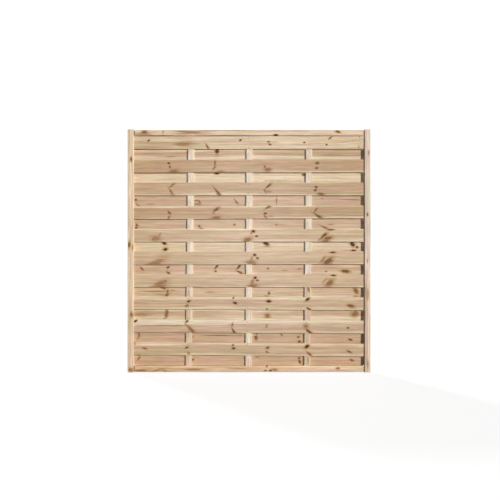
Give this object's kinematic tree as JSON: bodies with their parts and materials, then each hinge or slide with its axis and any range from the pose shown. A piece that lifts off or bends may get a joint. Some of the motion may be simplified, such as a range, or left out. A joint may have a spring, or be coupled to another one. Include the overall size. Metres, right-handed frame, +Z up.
{
  "type": "slatted fence panel",
  "caption": "Square garden fence panel of planed softwood: a tenoned frame with horizontal slats bradded to both faces of upright battens, each face covering the other's gaps.",
  "frame": {"origin": "middle of the panel's underside, between the feet of the two stiles", "axes": "+Z up, +X to the right as seen from the front, +Y from the front face to the back face"},
  "size_m": [1.8, 0.045, 1.8],
  "materials": {
    "frame_timber": "matte",
    "batten_timber": "matte",
    "slat_timber": "matte",
    "brad_steel": "satin"
  },
  "bodies": {
    "root": {"left_stile": "frame_timber", "right_stile": "frame_timber", "top_rail": "frame_timber", "bottom_rail": "frame_timber", "left_batten": "batten_timber", "middle_batten": "batten_timber", "right_batten": "batten_timber", "front_slat_01": "slat_timber", "front_slat_02": "slat_timber", "front_slat_03": "slat_timber", "front_slat_04": "slat_timber", "front_slat_05": "slat_timber", "front_slat_06": "slat_timber", "front_slat_07": "slat_timber", "front_slat_08": "slat_timber", "front_slat_09": "slat_timber", "front_slat_10": "slat_timber", "back_slat_01": "slat_timber", "back_slat_02": "slat_timber", "back_slat_03": "slat_timber", "back_slat_04": "slat_timber", "back_slat_05": "slat_timber", "back_slat_06": "slat_timber", "back_slat_07": "slat_timber", "back_slat_08": "slat_timber", "back_slat_09": "slat_timber", "back_slat_10": "slat_timber", "front_slat_brads": "brad_steel", "back_slat_brads": "brad_steel", "corner_brads": "brad_steel"}
  },
  "joints": []
}
